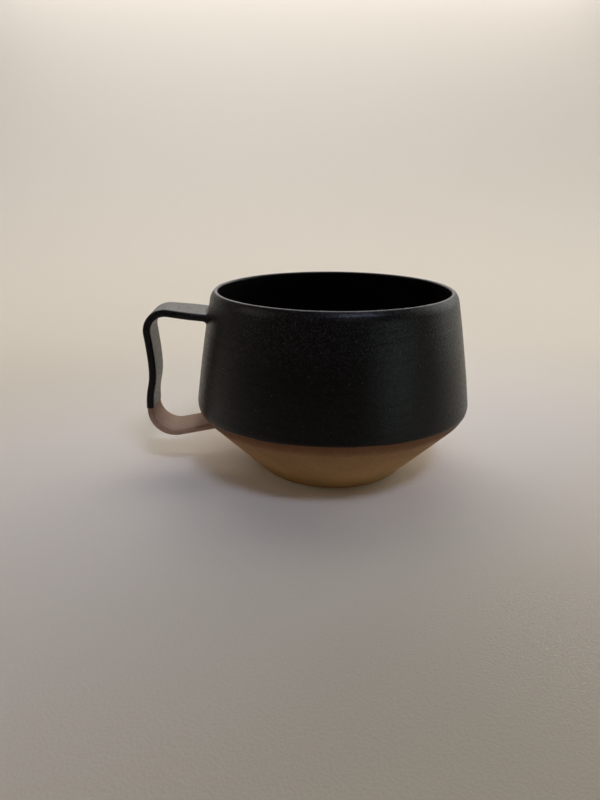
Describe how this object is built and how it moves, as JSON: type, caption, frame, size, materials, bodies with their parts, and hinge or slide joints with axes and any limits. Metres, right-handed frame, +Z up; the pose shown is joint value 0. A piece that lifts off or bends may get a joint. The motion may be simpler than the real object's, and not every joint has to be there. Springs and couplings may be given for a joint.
{
  "type": "ceramic mug",
  "caption": "Wide, low stoneware mug with a flared foot and a flat strap handle, glazed black inside and out down to a dip line, with raw clay below it.",
  "frame": {"origin": "centre of the flat underside of the foot, on the mug's axis", "axes": "+Z up the mug's axis to the mouth, -X towards the handle, X-Z is the handle's plane"},
  "size_m": [0.1361, 0.115, 0.0755],
  "materials": {
    "stoneware": "unglazed, fine sandy grain",
    "black_glaze": "satin"
  },
  "bodies": {
    "root": {"thrown_body": "stoneware", "strap_handle": "stoneware", "upper_join": "stoneware", "lower_join": "stoneware", "liner_glaze": "black_glaze", "outer_glaze": "black_glaze", "handle_glaze": "black_glaze"}
  },
  "joints": []
}
